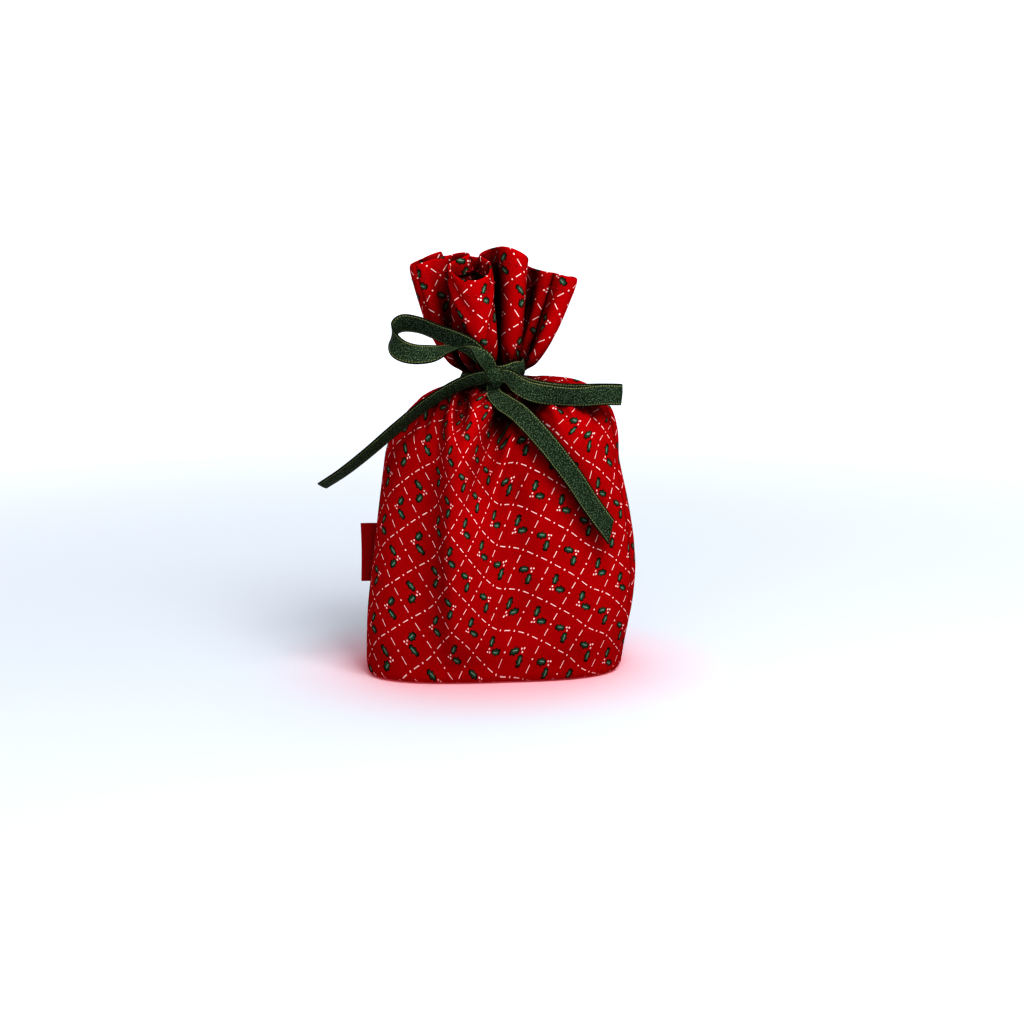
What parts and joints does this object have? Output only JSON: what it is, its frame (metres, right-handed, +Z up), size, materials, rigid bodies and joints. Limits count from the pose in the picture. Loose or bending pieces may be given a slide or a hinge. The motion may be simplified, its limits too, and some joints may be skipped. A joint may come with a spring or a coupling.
{
  "type": "gift pouch",
  "caption": "Small cloth gift pouch with a flat base, gathered at the neck by a ribbon tied in a bow, with a flared mouth and a side label.",
  "frame": {"origin": "on the flat underside of the pouch, in the middle of its base", "axes": "+Z up out of the mouth, -Y out of the front panel (the knot's side), +X towards the flat loop"},
  "size_m": [0.11, 0.0534, 0.1491],
  "materials": {
    "printed_cotton": "matt woven cotton, red with a small white and green print",
    "sewing_thread": "matt thread, red",
    "label_tape": "satin woven tape, dark red",
    "green_ribbon": "satin woven ribbon, dark green with a fine gold thread along each edge"
  },
  "bodies": {
    "pouch": {"front_panel": "printed_cotton", "back_panel": "printed_cotton", "left_seam_thread": "sewing_thread", "right_seam_thread": "sewing_thread", "bottom_seam_thread": "sewing_thread", "hem_thread": "sewing_thread", "ribbon_neck_wrap": "green_ribbon", "ribbon_knot": "green_ribbon"},
    "label": {"side_label": "label_tape"},
    "left_loop": {"ribbon_left_loop": "green_ribbon"},
    "right_loop": {"ribbon_right_loop": "green_ribbon"},
    "left_tail": {"ribbon_left_tail": "green_ribbon"},
    "right_tail": {"ribbon_right_tail": "green_ribbon"}
  },
  "joints": [
    {"name": "label_flap", "type": "hinge", "parent": "pouch", "child": "label", "pos_m": [-0.0451, 0, 0.043], "axis": [0.0934, 0, 0.9956], "range_deg": [-75, 75], "stiffness_Nm_per_rad": 0.0005},
    {"name": "left_loop_flop", "type": "hinge", "parent": "pouch", "child": "left_loop", "pos_m": [-0.0046, -0.0128, 0.1092], "axis": [0, 1, 0], "range_deg": [-15, 10], "stiffness_Nm_per_rad": 0.001},
    {"name": "right_loop_swing", "type": "hinge", "parent": "pouch", "child": "right_loop", "pos_m": [0.003, -0.0128, 0.1048], "axis": [0, 0, -1], "range_deg": [0, 40], "stiffness_Nm_per_rad": 0.0005},
    {"name": "left_tail_swing", "type": "hinge", "parent": "pouch", "child": "left_tail", "pos_m": [-0.0062, -0.013, 0.1046], "axis": [-0.1504, -0.5013, 0.8521], "range_deg": [-8, 45], "stiffness_Nm_per_rad": 0.0005},
    {"name": "right_tail_lift", "type": "hinge", "parent": "pouch", "child": "right_tail", "pos_m": [-0.002, -0.014, 0.0989], "axis": [0.9926, 0, 0.1215], "range_deg": [-45, 0]}
  ]
}
